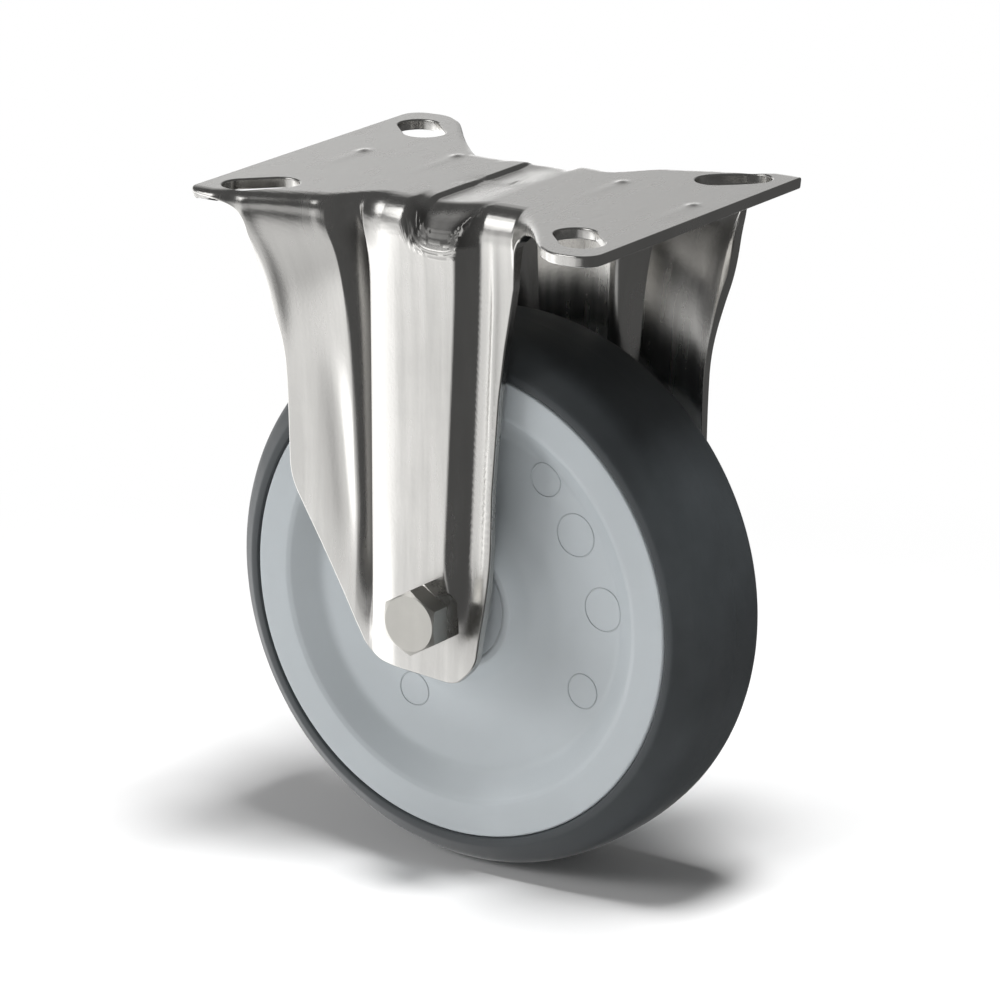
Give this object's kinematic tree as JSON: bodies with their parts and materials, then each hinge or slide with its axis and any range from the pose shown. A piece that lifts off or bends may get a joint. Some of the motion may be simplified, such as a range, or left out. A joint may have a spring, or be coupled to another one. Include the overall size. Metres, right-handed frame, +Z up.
{
  "type": "fixed castor",
  "caption": "Fixed castor: pressed steel bracket with a slotted mounting plate, and a plastic wheel with a soft grey tyre turning on a bolted axle.",
  "frame": {"origin": "middle of the mounting plate's top face, at the centre of the slot pattern", "axes": "+Z up, out of the plate's top; X along the direction of rolling; Y along the axle, with the bolt's head at -Y"},
  "size_m": [0.125, 0.088, 0.155],
  "materials": {
    "bracket_steel": "satin",
    "bolt_steel": "satin",
    "nut_steel": "satin",
    "insert_plastic": "satin",
    "tube_steel": "satin",
    "wheel_plastic": "semi-matt",
    "tyre_rubber": "matt",
    "cage_plastic": "matt",
    "retainer_plastic": "matt",
    "roller_steel": "satin"
  },
  "bodies": {
    "bracket": {"bracket": "bracket_steel", "axle_bolt": "bolt_steel", "head_side_nut": "nut_steel", "lock_nut": "nut_steel", "lock_nut_insert": "insert_plastic", "axle_tube": "tube_steel"},
    "wheel": {"wheel_body": "wheel_plastic", "tyre": "tyre_rubber", "retainer_near": "retainer_plastic", "retainer_far": "retainer_plastic"},
    "cage": {"roller_cage": "cage_plastic"},
    "roller_01": {"roller_01": "roller_steel"},
    "roller_02": {"roller_02": "roller_steel"},
    "roller_03": {"roller_03": "roller_steel"},
    "roller_04": {"roller_04": "roller_steel"},
    "roller_05": {"roller_05": "roller_steel"},
    "roller_06": {"roller_06": "roller_steel"},
    "roller_07": {"roller_07": "roller_steel"},
    "roller_08": {"roller_08": "roller_steel"},
    "roller_09": {"roller_09": "roller_steel"},
    "roller_10": {"roller_10": "roller_steel"}
  },
  "joints": [
    {"name": "wheel_spin", "type": "hinge", "parent": "bracket", "child": "wheel", "pos_m": [0, 0, -0.0925], "axis": [0, 1, 0], "continuous": true},
    {"name": "cage_spin", "type": "hinge", "parent": "bracket", "child": "cage", "pos_m": [0, 0, -0.0925], "axis": [0, 1, 0], "continuous": true},
    {"name": "roller_01_spin", "type": "hinge", "parent": "cage", "child": "roller_01", "pos_m": [0, 0, -0.08394], "axis": [0, 1, 0], "continuous": true},
    {"name": "roller_02_spin", "type": "hinge", "parent": "cage", "child": "roller_02", "pos_m": [0.00503, 0, -0.08557], "axis": [0, 1, 0], "continuous": true},
    {"name": "roller_03_spin", "type": "hinge", "parent": "cage", "child": "roller_03", "pos_m": [0.00814, 0, -0.08985], "axis": [0, 1, 0], "continuous": true},
    {"name": "roller_04_spin", "type": "hinge", "parent": "cage", "child": "roller_04", "pos_m": [0.00814, 0, -0.09515], "axis": [0, 1, 0], "continuous": true},
    {"name": "roller_05_spin", "type": "hinge", "parent": "cage", "child": "roller_05", "pos_m": [0.00503, 0, -0.09943], "axis": [0, 1, 0], "continuous": true},
    {"name": "roller_06_spin", "type": "hinge", "parent": "cage", "child": "roller_06", "pos_m": [0, 0, -0.10106], "axis": [0, 1, 0], "continuous": true},
    {"name": "roller_07_spin", "type": "hinge", "parent": "cage", "child": "roller_07", "pos_m": [-0.00503, 0, -0.09943], "axis": [0, 1, 0], "continuous": true},
    {"name": "roller_08_spin", "type": "hinge", "parent": "cage", "child": "roller_08", "pos_m": [-0.00814, 0, -0.09515], "axis": [0, 1, 0], "continuous": true},
    {"name": "roller_09_spin", "type": "hinge", "parent": "cage", "child": "roller_09", "pos_m": [-0.00814, 0, -0.08985], "axis": [0, 1, 0], "continuous": true},
    {"name": "roller_10_spin", "type": "hinge", "parent": "cage", "child": "roller_10", "pos_m": [-0.00503, 0, -0.08557], "axis": [0, 1, 0], "continuous": true}
  ],
  "couplings": [
    {"joint": "cage_spin", "follows": "wheel_spin", "ratio": 0.646},
    {"joint": "roller_01_spin", "follows": "wheel_spin", "ratio": 1.566},
    {"joint": "roller_02_spin", "follows": "wheel_spin", "ratio": 1.566},
    {"joint": "roller_03_spin", "follows": "wheel_spin", "ratio": 1.566},
    {"joint": "roller_04_spin", "follows": "wheel_spin", "ratio": 1.566},
    {"joint": "roller_05_spin", "follows": "wheel_spin", "ratio": 1.566},
    {"joint": "roller_06_spin", "follows": "wheel_spin", "ratio": 1.566},
    {"joint": "roller_07_spin", "follows": "wheel_spin", "ratio": 1.566},
    {"joint": "roller_08_spin", "follows": "wheel_spin", "ratio": 1.566},
    {"joint": "roller_09_spin", "follows": "wheel_spin", "ratio": 1.566},
    {"joint": "roller_10_spin", "follows": "wheel_spin", "ratio": 1.566}
  ]
}
